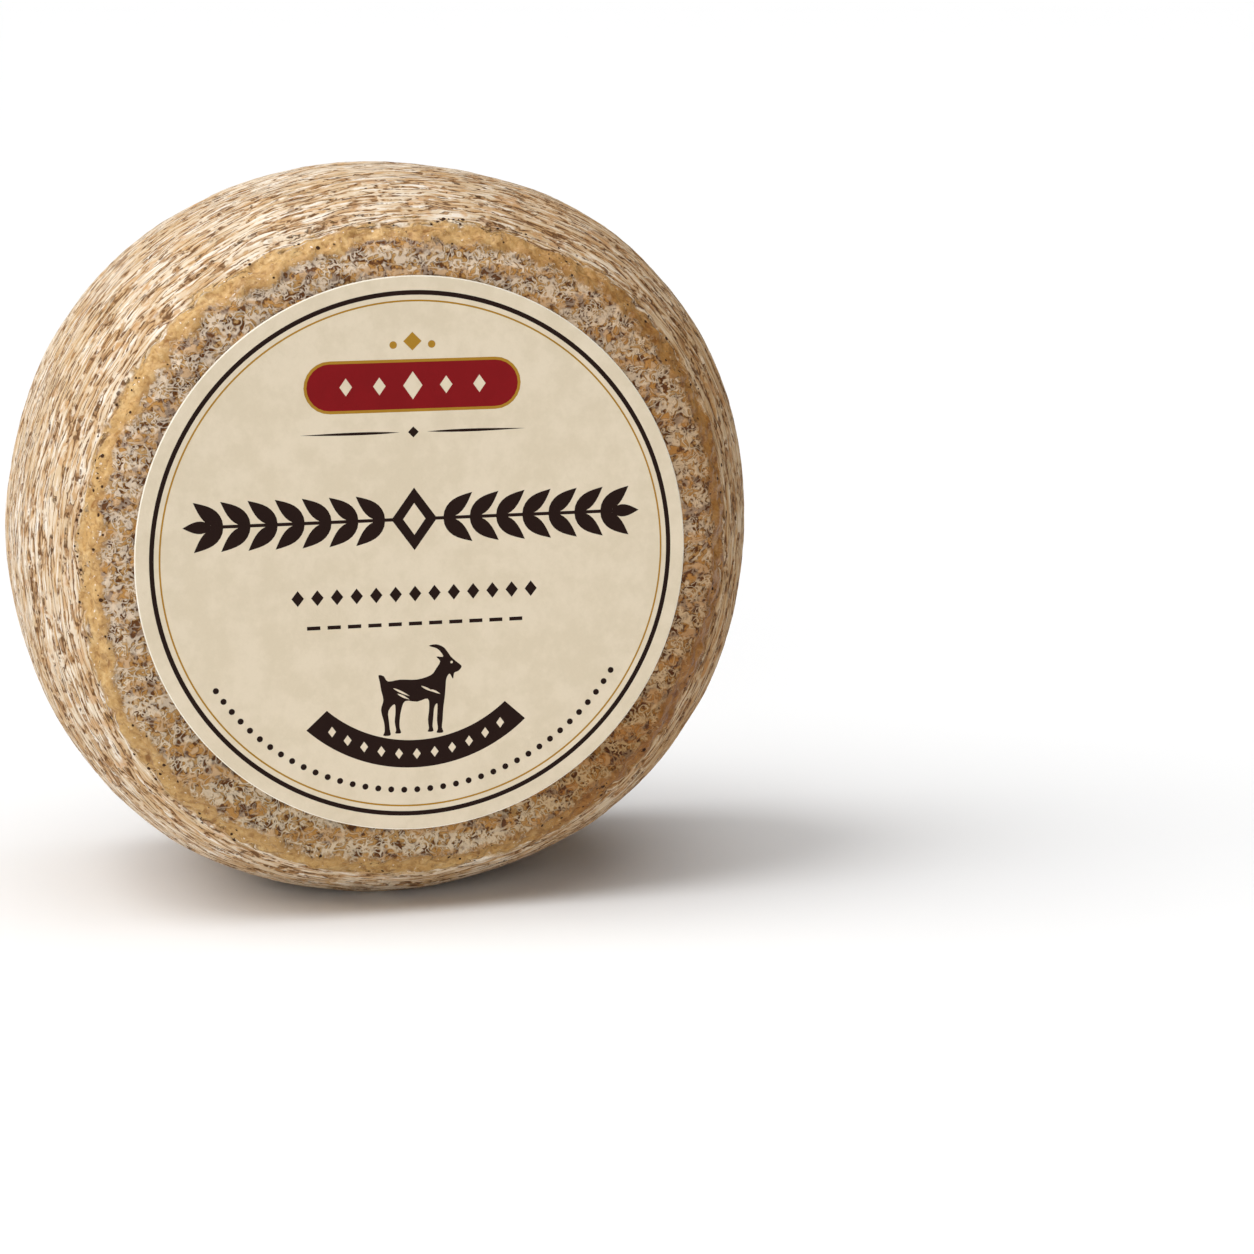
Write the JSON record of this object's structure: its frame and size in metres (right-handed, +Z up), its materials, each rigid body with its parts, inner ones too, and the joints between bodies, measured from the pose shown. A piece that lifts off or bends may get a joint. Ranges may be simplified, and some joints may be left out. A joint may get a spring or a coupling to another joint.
{
  "type": "cheese wheel",
  "caption": "Small round semi-hard cheese with a bulging natural rind, standing on its rim, with a round paper label on one flat face.",
  "frame": {"origin": "middle of the patch of rim that the wheel stands on", "axes": "+Z up; the wheel's own axis is along Y, and the labelled face looks along -Y"},
  "size_m": [0.1786, 0.1004, 0.1771],
  "materials": {
    "rind": "dry natural mould rind, off-white bloom over tan and amber, matt with a waxy edge",
    "label_paper": "uncoated cream paper, printed in dark brown, dark red and ochre"
  },
  "bodies": {
    "root": {"cheese_wheel": "rind", "paper_label": "label_paper"}
  },
  "joints": []
}
